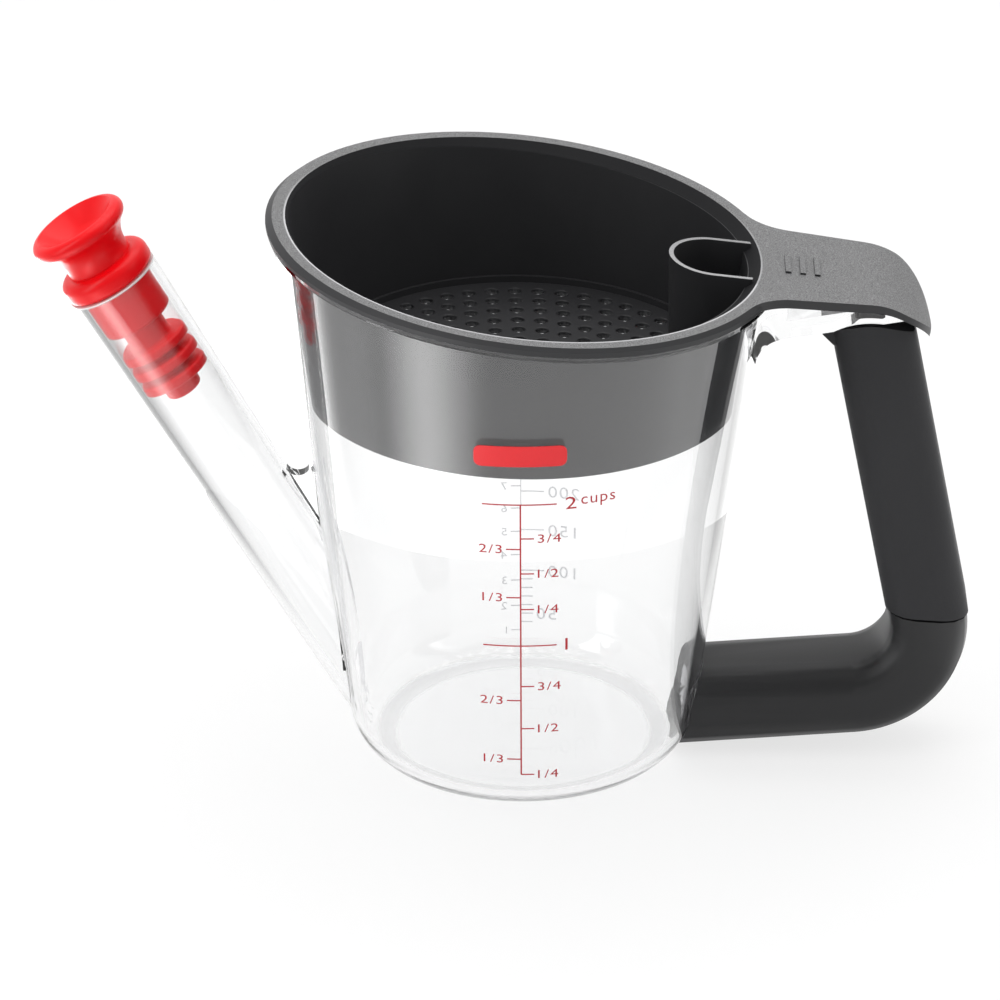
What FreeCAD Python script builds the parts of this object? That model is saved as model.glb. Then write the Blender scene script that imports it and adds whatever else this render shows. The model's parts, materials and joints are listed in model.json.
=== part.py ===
import FreeCAD, Part
import math
import os
from FreeCAD import Placement, Rotation, Vector

# A jug that parts fat from gravy: a clear moulded vessel with a low spout, a strainer that
# lifts out of its sloping rim, a soft stopper in the spout, and a handle built on a core.
# Millimetres and degrees. The vessel stands on z = 0 with its axis on Z, the handle on +X
# and the spout on -X.

# ---- vessel -------------------------------------------------------------------------------
base_radius = 37.9         # outer wall, carried down to the table
wall_draft = 7.43          # the wall widens upwards by this angle
wall = 2.2
floor_thickness = 2.6
base_round = 10.8          # outside, between floor and wall
floor_round = 8.2          # inside, between floor and wall
round_step = 20.5          # rounds that run round the axis are chords of about this angle
rim_height = 121.8         # of the rim plane, on the axis
rim_tilt = 6.67            # the rim plane falls towards the handle
flange_overhang = 1.92     # of the strainer, past the wall at the rim plane
lip_inset = 0.4            # the lip stays inside the flange
lip_thickness = 1.1

# ---- spout --------------------------------------------------------------------------------
spout_lean = 29.75         # from upright
spout_length = 116.7       # from the centre of its rounded foot to the mouth
spout_radius = 10.4        # outside, at the mouth
spout_wall = 2.0
spout_draft = 0.78         # the moulding core is drawn out of the mouth
spout_foot_inset = 6.3     # foot centre, in from base_radius
spout_foot_height = 12.0
port_top = 20.0            # the spout opens into the vessel below this height
web_thickness = 3.0        # between spout and wall
web_round = 2.9

# ---- strainer -----------------------------------------------------------------------------
strainer_gap = 0.35        # between strainer wall and vessel wall
strainer_wall = 1.4
strainer_foot = 89.1       # lower edge of the wall, on the axis
strainer_tilt = 1.28       # the foot and the floor fall a little towards the handle
foot_lip = 1.3             # wall below the underside of the floor
strainer_floor = 1.5
ledge_height = 1.4         # step round the edge of the floor
ledge_width = 0.8
seat_gap = 0.2             # between a seat and what sits on it
flange_thickness = 2.0
flange_bevel = 0.8         # round its outer upper edge
flange_width = 3.7         # from its outer edge to the mouth
mouth_bevel = 2.4          # from that edge in to the wall
mouth_bevel_depth = 2.0
hole_pitch = 5.06
hole_rings = 8
holes_per_step = 6         # each ring has this many more holes than the one inside it
hole_bearing = 33.0
hole_radius = 1.45         # of the round hole that each six-sided one stands for
hole_sides = 6
channel_centre = 41.7      # pouring channel, from the axis
channel_radius = 9.8
channel_wall = 1.0

# ---- thumb tab ----------------------------------------------------------------------------
tab_half_width = 15.7      # where its nose starts
tab_taper = 5.9            # its sides draw in towards the nose
tab_neck_radius = 12.0
tab_bend_start = 75.7      # along the rim plane, from the axis
tab_bend_radius = 14.2     # of the arm's upper face, which the tab follows
tab_bend_angle = 68.0
tab_nose = 8.0             # length of the rounded end
tab_thinning = 1.4         # its underside bends later by this much, so the end is thin
rib_count = 3
rib_start = 57.3           # first rib, along the rim plane
rib_pitch = 3.2
rib_length = 9.0
rib_width = 1.2
rib_height = 0.45

# ---- handle -------------------------------------------------------------------------------
grip_lean = 11.4           # the grip leans out towards its foot
grip_foot_x = 90.3         # grip axis where it meets the elbow
grip_foot_z = 35.5
seam_fall = 3.9            # the seam between sleeve and elbow falls outwards
seam_gap = 0.35
grip_width = 24.2
grip_thickness = 18.0
grip_corner = 6.4
crown_x = 75.6             # centre of the arched top of the grip
crown_z = 91.1
crown_radius = 16.9
beak_reach = 1.9           # the sleeve spreads under the arm
beak_start = 69.6          # along the grip
beak_end = 72.6
beak_width = 17.0
core_thickness = 12.2
core_width = 18.6
core_corner = 4.0
fit_gap = 0.15             # between handle pieces that are pushed together
join_overlap = 3.0         # a tang, boss or spigot starts this far inside its own piece
tang_thickness = 6.4
tang_width = 13.0
tang_length = 13.0
tang_corner = 1.5
spigot_length = 9.0
elbow_thickness = 17.4
elbow_width = 24.0
elbow_corner = 6.2
elbow_corner_step = 30.0
elbow_rise = 4.27          # slope of the lower arm
elbow_bend = 18.0          # radius of its centre line
elbow_foot_x = 38.5        # a point on its centre line
elbow_foot_z = 10.7
saddle_reach = 6.0         # from there in under the vessel's rounded foot
boss_thickness = 8.0
boss_width = 14.0
boss_reach = 8.0           # out of the wall

# ---- clear arm ----------------------------------------------------------------------------
arm_width = 21.5
arm_end = 85.5
arm_under_x = 57.0         # a point on the underside of the arm
arm_under_z = 104.4
arm_under_rise = 9.6       # its slope
arm_blend = 7.0            # fillet down into the wall
pocket_start = 57.5        # cored out from above
pocket_length = 13.0
pocket_wall = 3.4
pocket_skin = 3.2          # left under the pocket

# ---- stopper ------------------------------------------------------------------------------
knob_radius = 11.2
knob_height = 15.9         # above the mouth
knob_edge = 1.9            # round of its rim
dish_depth = 5.0
waist_radius = 7.4
waist_height = 6.3
disc_radius = 10.5
disc_height = 5.2
disc_shoulder = 2.4        # its upper round
disc_foot = 1.2            # its lower round
plug_radius = 8.0
plug_depth = 10.8
plug_round = 1.5
neck_radius = 4.9
fin_radius = 7.85
fin_count = 3
fin_pitch = 4.05
fin_first = 17.2           # depth of the middle of the first fin
fin_thickness = 2.4
tip_radius = 4.2
tip_depth = 30.4
tip_round = 1.2
stopper_step = 45.0        # its rounds are chords of about this angle

REACH = 400.0              # of the blocks that stand for half spaces
UP = Vector(0, 0, 1)
ACROSS = Vector(0, 1, 0)
CENTRE = Vector(0, 0, 0)


# ---- shared geometry ----------------------------------------------------------------------
def tan(angle):
    return math.tan(math.radians(angle))


def cos(angle):
    return math.cos(math.radians(angle))


def sin(angle):
    return math.sin(math.radians(angle))


def leaning(point, angle):
    """Frame at a point with its Z turned from upright towards +X."""
    return Placement(point, Rotation(ACROSS, angle))


def placed(shape, frame):
    moved = shape.copy()
    moved.Placement = frame.multiply(moved.Placement)
    return moved


def above(height, tilt=0.0):
    """Everything above a plane that crosses the axis at a height and falls towards +X."""
    block = Part.makeBox(2 * REACH, 2 * REACH, REACH, Vector(-REACH, -REACH, 0))
    return placed(block, leaning(Vector(0, 0, height), tilt))


def below(height, tilt=0.0):
    block = Part.makeBox(2 * REACH, 2 * REACH, REACH, Vector(-REACH, -REACH, -REACH))
    return placed(block, leaning(Vector(0, 0, height), tilt))


def on_rim(offset):
    """Height on the axis of a plane that lies square above the rim plane by an offset."""
    return rim_height + offset / cos(rim_tilt)


def wall_radius(height, depth=0.0):
    """Radius of the vessel's wall at a height, at a depth measured square to its surface."""
    return base_radius - depth / cos(wall_draft) + height * tan(wall_draft)


def flange_radius():
    return wall_radius(rim_height) + flange_overhang


def cone_inside(depth):
    """Endless cone inside the wall line at a depth."""
    return Part.makeCone(wall_radius(0, depth), wall_radius(REACH, depth), REACH)


def arc_points(centre, radius, start, finish, step):
    """Points on an arc in the XZ plane, angles from +X towards +Z, ends included."""
    count = max(1, round(abs(finish - start) / step))
    angles = [start + (finish - start) * number / count for number in range(count + 1)]
    return [centre + Vector(radius * cos(angle), 0, radius * sin(angle)) for angle in angles]


def turned(points):
    """Solid of revolution about the axis from an open outline that starts and ends on it."""
    return Part.Face(Part.makePolygon(points + [points[0]])).revolve(CENTRE, UP, 360)


def cup(depth, bottom, corner):
    """The same cone with a flat floor and a rounded foot."""
    middle_z = bottom + corner
    middle = Vector(wall_radius(middle_z, depth) - corner / cos(wall_draft), 0, middle_z)
    foot = arc_points(middle, corner, -90, -wall_draft, round_step)
    top = Vector(wall_radius(REACH, depth), 0, REACH)
    return turned([Vector(0, 0, bottom)] + foot + [top, UP * REACH])


def rounded_rectangle(thickness, width, corner):
    """Flat outline with rounded corners, thickness along X and width along Y."""
    x = thickness / 2 - corner
    y = width / 2 - corner
    edges = []
    corners = [Vector(x, y, 0), Vector(-x, y, 0), Vector(-x, -y, 0), Vector(x, -y, 0)]
    for turn, middle in enumerate(corners):
        following = corners[(turn + 1) % 4]
        start, bulge, end = [
            middle + Vector(corner * cos(angle), corner * sin(angle), 0)
            for angle in (90 * turn, 90 * turn + 45, 90 * turn + 90)
        ]
        edges.append(Part.Arc(start, bulge, end).toShape())
        edges.append(Part.makeLine(end, following + (end - middle)))
    return Part.Face(Part.Wire(edges))


def bar(thickness, width, corner, bottom, top):
    """Straight bar of rounded section along Z."""
    solid = rounded_rectangle(thickness, width, corner).extrude(UP * (top - bottom))
    solid.translate(UP * bottom)
    return solid


def across(face, width):
    """Plate of a width, centred on the XZ plane, from a face drawn in that plane."""
    plate = face.extrude(ACROSS * width)
    plate.translate(ACROSS * (-width / 2))
    return plate


def crossing(point, along, other, other_along):
    """Where two lines in the XZ plane cross."""
    gap = other - point
    spread = along.x * other_along.z - along.z * other_along.x
    return point + along * ((gap.x * other_along.z - gap.z * other_along.x) / spread)


def corner_fill(corner, first, second, radius, width):
    """Solid that rounds the inside corner between two unit directions in the XZ plane."""
    half = first.getAngle(second) / 2
    middle = Vector(first + second).normalize()
    start = corner + first * (radius / math.tan(half))
    end = corner + second * (radius / math.tan(half))
    nearest = corner + middle * (radius / math.sin(half) - radius)
    behind = corner - middle * radius
    edges = [
        Part.makeLine(behind, start),
        Part.Arc(start, nearest, end).toShape(),
        Part.makeLine(end, behind),
    ]
    return across(Part.Face(Part.Wire(edges)), width)


# ---- spout --------------------------------------------------------------------------------
def spout_direction():
    return Vector(-sin(spout_lean), 0, cos(spout_lean))


def spout_foot():
    return Vector(spout_foot_inset - base_radius, 0, spout_foot_height)


def spout_tube(depth, overrun=0.0):
    """Tapered tube with a round foot, at a depth below the spout's outer surface."""
    mouth = spout_radius - depth
    foot = mouth - spout_length * tan(spout_draft)
    end = mouth + overrun * tan(spout_draft)
    tube = Part.makeCone(foot, end, spout_length + overrun, spout_foot(), spout_direction())
    return tube.fuse(Part.makeSphere(foot, spout_foot()))


def spout_bore():
    """The passage: outside the vessel's wall down to the port, then into the vessel."""
    kept_wall = cup(0, 0, base_round).common(above(port_top))
    return spout_tube(spout_wall, overrun=1.0).cut(kept_wall)


def spout_web():
    """Plate in the narrow corner between spout and wall, with a round top."""
    up_wall = Vector(-sin(wall_draft), 0, cos(wall_draft))
    edge_lean = spout_lean - spout_draft
    up_spout = Vector(-sin(edge_lean), 0, cos(edge_lean))
    mouth = spout_foot() + spout_direction() * spout_length
    mouth_edge = mouth + Vector(cos(spout_lean), 0, sin(spout_lean)) * spout_radius
    corner = crossing(mouth_edge, up_spout, Vector(-base_radius, 0, 0), up_wall)
    return corner_fill(corner, up_wall, up_spout, web_round, web_thickness)


# ---- arm and tab, which share one line ----------------------------------------------------
def rim_frame():
    return leaning(Vector(0, 0, rim_height), rim_tilt)


def under_line(height, later=0.0):
    """Everything below the arm's upper face, raised by a height, with its bend set later."""
    block = Part.makeBox(tab_bend_start + later, 2 * REACH, REACH, Vector(0, -REACH, height - REACH))
    hub = Vector(tab_bend_start + later, -REACH, -tab_bend_radius)
    wheel = Part.makeCylinder(tab_bend_radius + height, 2 * REACH, hub, ACROSS)
    return placed(block.fuse(wheel), rim_frame())


def under_crown(radius):
    """Everything below the arched joint of grip and arm."""
    arch = Part.makeCylinder(radius, 2 * REACH, Vector(crown_x, -REACH, crown_z), ACROSS)
    return arch.fuse(below(crown_z))


def arm():
    slope_start = arm_under_z - arm_under_x * tan(arm_under_rise)
    block = Part.makeBox(arm_end, arm_width, REACH, Vector(0, -arm_width / 2, 0))
    solid = block.common(above(slope_start, -arm_under_rise)).common(under_line(0))
    underside = Vector(cos(arm_under_rise), 0, sin(arm_under_rise))
    down_wall = Vector(-sin(wall_draft), 0, -cos(wall_draft))
    foot = crossing(Vector(arm_under_x, 0, arm_under_z), underside, Vector(base_radius, 0, 0), down_wall)
    solid = solid.fuse(corner_fill(foot, down_wall, underside, arm_blend, arm_width))
    pocket = Part.makeBox(pocket_length, arm_width - 2 * pocket_wall, REACH,
                          Vector(pocket_start, pocket_wall - arm_width / 2, 0))
    pocket = pocket.common(above(slope_start + pocket_skin / cos(arm_under_rise), -arm_under_rise))
    arch = under_crown(crown_radius + seat_gap).common(above(0)).cut(cup(0, 0, base_round))
    arch_corner = Vector(crown_x - crown_radius, -arm_width / 2, 0)
    arch = arch.common(Part.makeBox(REACH, arm_width, REACH, arch_corner))
    return solid.cut(pocket).cut(arch)


# ---- handle axes --------------------------------------------------------------------------
def grip_frame():
    return leaning(Vector(grip_foot_x, 0, grip_foot_z), -grip_lean)


def seam_height():
    """Height on the vessel's axis of the plane of the seam."""
    return grip_foot_z + grip_foot_x * tan(seam_fall)


def crown_along_grip():
    """Distance up the grip's axis from its foot to the crown."""
    to_crown = Vector(crown_x - grip_foot_x, 0, crown_z - grip_foot_z)
    upward = Vector(-sin(grip_lean), 0, cos(grip_lean))
    along = to_crown.dot(upward)
    aside = (to_crown - upward * along).Length
    return along + math.sqrt(crown_radius ** 2 - aside ** 2)


def grip_top():
    """Distance up the grip's axis to a place past the crown, which trims what reaches it."""
    return crown_along_grip() + grip_thickness


def tang(gap):
    end = crown_along_grip()
    solid = bar(tang_thickness + 2 * gap, tang_width + 2 * gap, tang_corner,
                end - tang_length - gap, end + join_overlap)
    return placed(solid, grip_frame())


def elbow_direction():
    return Vector(cos(elbow_rise), 0, sin(elbow_rise))


def boss(gap):
    frame = leaning(Vector(elbow_foot_x, 0, elbow_foot_z), 90 - elbow_rise)
    solid = bar(boss_thickness + 2 * gap, boss_width + 2 * gap, tang_corner,
                -join_overlap, boss_reach + gap)
    return placed(solid, frame)


# ---- clear jug ----------------------------------------------------------------------------
def clear_jug():
    wall_body = cup(0, 0, base_round).common(below(rim_height, rim_tilt))
    lip = Part.makeCylinder(flange_radius() - lip_inset, REACH)
    lip = lip.common(below(rim_height, rim_tilt)).common(above(on_rim(-lip_thickness), rim_tilt))
    solid = wall_body.fuse([lip, spout_tube(0), spout_web(), arm(), boss(0)])
    solid = solid.common(above(0))
    solid = solid.cut(cup(wall, floor_thickness, floor_round))
    solid = solid.cut(spout_bore())
    inside_crown = tang(0).cut(cup(0, 0, base_round))
    return solid.fuse(inside_crown).removeSplitter()


# ---- strainer -----------------------------------------------------------------------------
def channel_plan(radius):
    """Straight-sided plug with a round nose, open towards the handle."""
    nose = Part.makeCylinder(radius, REACH, Vector(channel_centre, 0, 0))
    sides = Part.makeBox(REACH, 2 * radius, REACH, Vector(channel_centre, -radius, 0))
    return nose.fuse(sides)


def tab_plan():
    """Outline of the tab seen from above, from the flange to the nose."""
    tip = tab_bend_start * cos(rim_tilt) - tab_bend_radius * sin(rim_tilt)
    tip += (tab_bend_radius + seat_gap + flange_thickness) * sin(rim_tilt + tab_bend_angle)
    nose_start = Vector(tip - tab_nose, tab_half_width, 0)
    inward = Vector(-cos(tab_taper), sin(tab_taper), 0)
    aside = Vector(sin(tab_taper), cos(tab_taper), 0)
    offset = nose_start + aside * tab_neck_radius
    on_top = flange_radius() - flange_bevel
    reach = on_top + tab_neck_radius
    along = -offset.dot(inward) - math.sqrt(offset.dot(inward) ** 2 - offset.dot(offset) + reach ** 2)
    neck_centre = offset + inward * along
    on_flange = neck_centre * (on_top / reach)
    neck_end = neck_centre - aside * tab_neck_radius
    toward = Vector((on_flange + neck_end) * 0.5 - neck_centre).normalize()
    neck_middle = neck_centre + toward * tab_neck_radius

    def mirrored(point):
        return Vector(point.x, -point.y, point.z)

    nose = Part.Ellipse(nose_start, Vector(tip, 0, 0), Vector(tip - tab_nose, 0, 0))
    nose_edge = Part.Arc(nose, 0, math.pi).toShape()
    edges = [
        Part.Arc(on_flange, neck_middle, neck_end).toShape(),
        Part.makeLine(neck_end, nose_start),
        nose_edge,
        Part.makeLine(mirrored(nose_start), mirrored(neck_end)),
        Part.Arc(mirrored(neck_end), mirrored(neck_middle), mirrored(on_flange)).toShape(),
        Part.makeLine(mirrored(on_flange), on_flange),
    ]
    outline = Part.Wire(Part.sortEdges(edges)[0])
    return Part.Face(outline).extrude(UP * REACH)


def tab():
    """Plate that follows the arm's upper face, thins round the bend and ends square to it."""
    strip = under_line(seat_gap + flange_thickness).cut(under_line(seat_gap, tab_thinning))
    hub = Vector(tab_bend_start, 0, -tab_bend_radius)
    past_end = placed(below(0), rim_frame().multiply(leaning(hub, tab_bend_angle - 90)))
    return strip.common(tab_plan()).cut(past_end)


def ribs():
    solids = []
    for number in range(rib_count):
        corner = Vector(rib_start + number * rib_pitch, -rib_length / 2, seat_gap)
        rib = Part.makeBox(rib_width, rib_length, flange_thickness + rib_height, corner)
        solids.append(placed(rib, rim_frame()))
    return solids


def drill(foot, length):
    """Six-sided prism with the section area of the round hole."""
    reach = hole_radius * math.sqrt(2 * math.pi / (hole_sides * sin(360 / hole_sides)))
    bearings = [number * 360 / hole_sides for number in range(hole_sides + 1)]
    corners = [foot + Vector(reach * cos(bearing), reach * sin(bearing), 0) for bearing in bearings]
    return Part.Face(Part.makePolygon(corners)).extrude(UP * length)


def strainer_holes(top, bottom):
    """Drain holes in rings, each ring longer than the last by the same number of holes."""
    places = [CENTRE]
    for ring in range(1, hole_rings + 1):
        count = ring * holes_per_step
        for number in range(count):
            bearing = hole_bearing + number * 360 / count
            places.append(Vector(ring * hole_pitch * cos(bearing), ring * hole_pitch * sin(bearing), 0))
    clear_of = channel_radius + hole_radius + channel_wall / 2
    drills = []
    for place in places:
        in_line = place.x > channel_centre and abs(place.y) < clear_of
        if in_line or (place - Vector(channel_centre, 0, 0)).Length < clear_of:
            continue
        drills.append(drill(place + UP * bottom, top - bottom))
    return drills


def flange_cone():
    """Cone square to the rim whose side is the bevel round the flange."""
    top = seat_gap + flange_thickness
    foot = flange_radius() - flange_bevel + top
    return placed(Part.makeCone(foot, foot - 2 * top, 2 * top), rim_frame())


def mouth_cone():
    """Cone square to the rim whose side is the bevel round the strainer's mouth."""
    foot = Vector(0, 0, seat_gap + flange_thickness - mouth_bevel_depth)
    mouth_radius = flange_radius() - flange_width
    low_radius = mouth_radius - mouth_bevel
    high_radius = mouth_radius + mouth_bevel
    cone = Part.makeCone(low_radius, high_radius, 2 * mouth_bevel_depth, foot)
    return placed(cone, rim_frame())


def strainer():
    outside = cone_inside(wall + strainer_gap)
    inside = cone_inside(wall + strainer_gap + strainer_wall)
    inside_ledge = cone_inside(wall + strainer_gap + strainer_wall + ledge_width)
    over_foot = above(strainer_foot, strainer_tilt)
    under_top = below(on_rim(seat_gap + flange_thickness), rim_tilt)
    floor_bottom = strainer_foot + foot_lip
    floor_top = floor_bottom + strainer_floor

    ring = Part.makeCylinder(flange_radius(), REACH).common(flange_cone())
    ring = ring.common(under_top).common(above(on_rim(seat_gap), rim_tilt))
    basket = outside.common(over_foot).common(under_top)
    solid = basket.fuse([ring, tab()] + ribs())
    mouth = mouth_cone()
    solid = solid.cut(mouth)
    solid = solid.cut(inside.common(above(floor_top + ledge_height, strainer_tilt)))
    solid = solid.cut(inside_ledge.common(above(floor_top, strainer_tilt)))
    solid = solid.cut(inside.common(below(floor_bottom, strainer_tilt)))
    channel = channel_plan(channel_radius).common(outside).common(over_foot).common(under_top)
    bore = channel_plan(channel_radius - channel_wall)
    solid = solid.fuse(channel).cut(bore.common(inside)).cut(bore.common(mouth))
    drills = strainer_holes(floor_top + ledge_height, strainer_foot)
    return solid.cut(Part.makeCompound(drills)).removeSplitter()


# ---- handle -------------------------------------------------------------------------------
def grip_core():
    body = bar(core_thickness, core_width, core_corner, 0, grip_top())
    body = placed(body, grip_frame()).common(under_crown(crown_radius))
    body = body.common(above(seam_height(), seam_fall))
    spigot = bar(tang_thickness, tang_width, tang_corner, -spigot_length, join_overlap)
    return body.fuse(placed(spigot, grip_frame())).cut(tang(fit_gap)).removeSplitter()


def grip_sleeve():
    skin = bar(grip_thickness, grip_width, grip_corner, -grip_thickness, grip_top())
    inner_face = -grip_thickness / 2
    outline = [
        Vector(inner_face, 0, beak_start),
        Vector(inner_face - beak_reach, 0, beak_end),
        Vector(inner_face - beak_reach, 0, grip_top()),
        Vector(0, 0, grip_top()),
        Vector(0, 0, beak_start),
        Vector(inner_face, 0, beak_start),
    ]
    beak = across(Part.Face(Part.makePolygon(outline)), beak_width)
    body = placed(skin.fuse(beak), grip_frame())
    body = body.common(under_crown(crown_radius)).common(above(seam_height() + seam_gap, seam_fall))
    hollow = bar(core_thickness + 2 * fit_gap, core_width + 2 * fit_gap, core_corner + fit_gap,
                 -grip_thickness, grip_top())
    return body.cut(placed(hollow, grip_frame())).removeSplitter()


def elbow_section():
    """Section of the lower arm, its corners in chords so that the bend stays simple."""
    x = elbow_thickness / 2 - elbow_corner
    y = elbow_width / 2 - elbow_corner
    points = []
    corners = [Vector(x, y, 0), Vector(-x, y, 0), Vector(-x, -y, 0), Vector(x, -y, 0)]
    for turn, middle in enumerate(corners):
        for number in range(round(90 / elbow_corner_step) + 1):
            angle = 90 * turn + elbow_corner_step * number
            points.append(middle + Vector(elbow_corner * cos(angle), elbow_corner * sin(angle), 0))
    return Part.Face(Part.makePolygon(points + [points[0]]))


def handle_elbow():
    """Lower arm, bend and stub swept along one centre line."""
    foot = Vector(elbow_foot_x, 0, elbow_foot_z)
    grip_axis = Vector(-sin(grip_lean), 0, cos(grip_lean))
    grip_foot = Vector(grip_foot_x, 0, grip_foot_z)
    corner = crossing(foot, elbow_direction(), grip_foot, grip_axis)
    turn = 90 + grip_lean - elbow_rise
    tangent = elbow_bend * tan(turn / 2)
    bend_start = corner - elbow_direction() * tangent
    bend_end = corner + grip_axis * tangent
    hub = bend_start + Vector(-sin(elbow_rise), 0, cos(elbow_rise)) * elbow_bend

    section = elbow_section()
    start_face = placed(section, leaning(bend_start, 90 - elbow_rise))
    end_face = placed(section, leaning(bend_end, -grip_lean))
    lower_arm = start_face.extrude(foot - elbow_direction() * saddle_reach - bend_start)
    bend = start_face.revolve(hub, ACROSS, -turn)
    stub = end_face.extrude(grip_axis * ((grip_foot - bend_end).Length + elbow_thickness))
    body = lower_arm.fuse([bend, stub]).common(below(seam_height() - seat_gap, seam_fall))
    body = body.cut(cup(-seat_gap, -seat_gap, base_round + seat_gap))
    socket = bar(tang_thickness + 2 * fit_gap, tang_width + 2 * fit_gap, tang_corner + fit_gap,
                 -spigot_length - seat_gap, elbow_thickness)
    return body.cut(boss(fit_gap)).cut(placed(socket, grip_frame())).removeSplitter()


# ---- stopper ------------------------------------------------------------------------------
def fin_outline(depth):
    """One fin from its lower face to its upper face."""
    low = -depth - fin_thickness / 2
    high = -depth + fin_thickness / 2
    return [Vector(neck_radius, 0, low), Vector(fin_radius, 0, low), Vector(fin_radius, 0, high),
            Vector(neck_radius, 0, high)]


def plug_outline():
    """Tip, fins, neck and plug, from the bottom up to the mouth."""
    points = [
        Vector(0, 0, -tip_depth),
        Vector(tip_radius - tip_round, 0, -tip_depth),
        Vector(tip_radius, 0, -tip_depth + tip_round),
        Vector(tip_radius, 0, -fin_first - (fin_count - 1) * fin_pitch - fin_thickness / 2),
    ]
    for number in reversed(range(fin_count)):
        points += fin_outline(fin_first + number * fin_pitch)
    return points + [
        Vector(neck_radius, 0, -plug_depth),
        Vector(plug_radius - plug_round, 0, -plug_depth),
        Vector(plug_radius, 0, -plug_depth + plug_round),
        Vector(plug_radius, 0, seat_gap),
    ]


def knob_outline():
    """Disc on the mouth, waist, flare and dished knob, from the mouth up to the axis.

    The flare leaves the waist upright and runs smoothly into the round of the knob's rim.
    """
    foot_middle = Vector(disc_radius - disc_foot, 0, seat_gap + disc_foot)
    foot = arc_points(foot_middle, disc_foot, -90, 0, stopper_step)
    shoulder_middle = Vector(disc_radius - disc_shoulder, 0, disc_height - disc_shoulder)
    shoulder = arc_points(shoulder_middle, disc_shoulder, 0, 90, stopper_step)
    rim = knob_radius - knob_edge
    edge_middle = Vector(rim, 0, knob_height - knob_edge)
    inset = waist_radius - rim
    lift = edge_middle.z - waist_height
    flare_radius = (inset ** 2 + lift ** 2 - knob_edge ** 2) / (2 * (knob_edge - inset))
    flare_middle = Vector(waist_radius + flare_radius, 0, waist_height)
    rise = math.degrees(math.asin((waist_height - disc_height) / flare_radius))
    lean = math.degrees(math.atan2(lift, flare_middle.x - rim))
    flare = arc_points(flare_middle, flare_radius, 180 + rise, 180 - lean, stopper_step / 2)
    edge = arc_points(edge_middle, knob_edge, -lean, 90, stopper_step)
    bowl = (rim ** 2 + dish_depth ** 2) / (2 * dish_depth)
    half_bowl = math.degrees(math.asin(rim / bowl))
    bowl_middle = UP * (knob_height - dish_depth + bowl)
    dish = arc_points(bowl_middle, bowl, half_bowl - 90, -90, stopper_step / 2)
    return foot + shoulder + flare + edge[1:] + dish[1:]


def stopper():
    mouth = spout_foot() + spout_direction() * spout_length
    return placed(turned(plug_outline() + knob_outline()), leaning(mouth, -spout_lean))


# ---- write the pieces ---------------------------------------------------------------------
os.makedirs("parts", exist_ok=True)
nodes = {
    "clear_jug": clear_jug(),
    "strainer": strainer(),
    "stopper": stopper(),
    "grip_core": grip_core(),
    "grip_sleeve": grip_sleeve(),
    "handle_elbow": handle_elbow(),
}
for name, shape in nodes.items():
    solids = shape.Solids
    print(name, "solids", len(solids), "valid", shape.isValid(), "volume", round(shape.Volume, 1))
    solids[0].exportStep("parts/" + name + ".step")
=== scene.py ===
# %% [markdown]
# # A jug that parts fat from gravy
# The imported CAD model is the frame: it says where every piece sits and how it moves. This
# file gives it finishes, prints its two measuring scales and lights it like a catalogue
# picture. Lengths are metres, in the model's own frame: Z up, handle on +X, spout on -X.

# %% Load the frame
import bmesh
import bpy
import json
import math
from mathutils import Matrix, Vector


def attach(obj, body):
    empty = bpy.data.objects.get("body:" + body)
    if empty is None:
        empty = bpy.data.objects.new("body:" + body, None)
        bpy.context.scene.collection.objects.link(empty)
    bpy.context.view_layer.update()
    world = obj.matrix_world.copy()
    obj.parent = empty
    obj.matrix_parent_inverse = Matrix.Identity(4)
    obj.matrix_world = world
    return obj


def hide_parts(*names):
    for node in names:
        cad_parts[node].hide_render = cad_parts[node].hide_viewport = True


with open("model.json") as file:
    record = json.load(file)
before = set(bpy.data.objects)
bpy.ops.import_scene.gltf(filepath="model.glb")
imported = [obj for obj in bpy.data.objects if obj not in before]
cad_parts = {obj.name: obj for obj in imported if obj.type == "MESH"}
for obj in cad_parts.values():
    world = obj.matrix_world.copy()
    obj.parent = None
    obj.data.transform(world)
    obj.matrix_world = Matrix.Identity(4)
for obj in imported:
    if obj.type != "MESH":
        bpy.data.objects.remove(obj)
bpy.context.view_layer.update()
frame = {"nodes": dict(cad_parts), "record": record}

MM = 0.001
nodes = frame["nodes"]
bodies = frame["record"]["behaviour"]["bodies"]
print("nodes:", ", ".join(sorted(nodes)))


def placed(name, data):
    """New object at the origin, linked to the scene."""
    new_object = bpy.data.objects.new(name, data)
    bpy.context.scene.collection.objects.link(new_object)
    return new_object


def as_mesh(name, work, material):
    """Mesh with one material from a finished bmesh."""
    mesh = bpy.data.meshes.new(name)
    work.to_mesh(mesh)
    work.free()
    mesh.materials.append(material)
    return mesh


# %% [markdown]
# ## Camera
# A long lens from in front, 27 degrees above the table, so verticals stay nearly parallel.

# %% Place the camera
AZIMUTH = math.radians(0.853)
ELEVATION = math.radians(27.213)
ROLL = math.radians(-0.217)
DISTANCE = 1221.64 * MM
TARGET = Vector((-5.04, 0.0, 59.45)) * MM


def camera_frame():
    """Rotation whose columns are the camera's right, up and backward directions."""
    back = Vector((math.sin(AZIMUTH) * math.cos(ELEVATION),
                   -math.cos(AZIMUTH) * math.cos(ELEVATION),
                   math.sin(ELEVATION)))
    level = Vector((math.cos(AZIMUTH), math.sin(AZIMUTH), 0.0))
    lift = back.cross(level)
    right = level * math.cos(ROLL) + lift * math.sin(ROLL)
    up = lift * math.cos(ROLL) - level * math.sin(ROLL)
    return Matrix((right, up, back)).transposed(), back


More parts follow.
